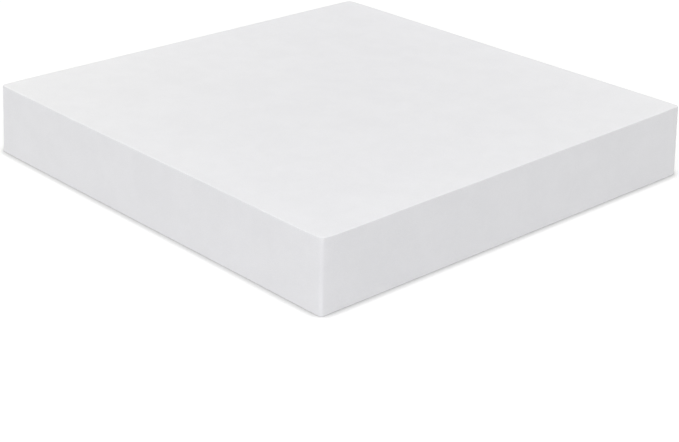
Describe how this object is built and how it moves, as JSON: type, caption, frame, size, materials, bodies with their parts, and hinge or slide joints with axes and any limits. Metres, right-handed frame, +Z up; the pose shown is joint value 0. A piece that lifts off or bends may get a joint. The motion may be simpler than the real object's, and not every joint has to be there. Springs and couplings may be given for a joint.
{
  "type": "foam block",
  "caption": "Square slab of white fine-celled foam with flat cut faces and slightly soft edges, for cutting to shape, padding or propping on a bench or desk.",
  "frame": {"origin": "centre of the bottom face, which the slab lies on", "axes": "+Z up through the thickness, out of the top face; X and Y along the sides"},
  "size_m": [0.3048, 0.3048, 0.0444],
  "materials": {
    "foam": "dull white fine-celled foam, cut faces"
  },
  "bodies": {
    "root": {"foam_block": "foam"}
  },
  "joints": []
}
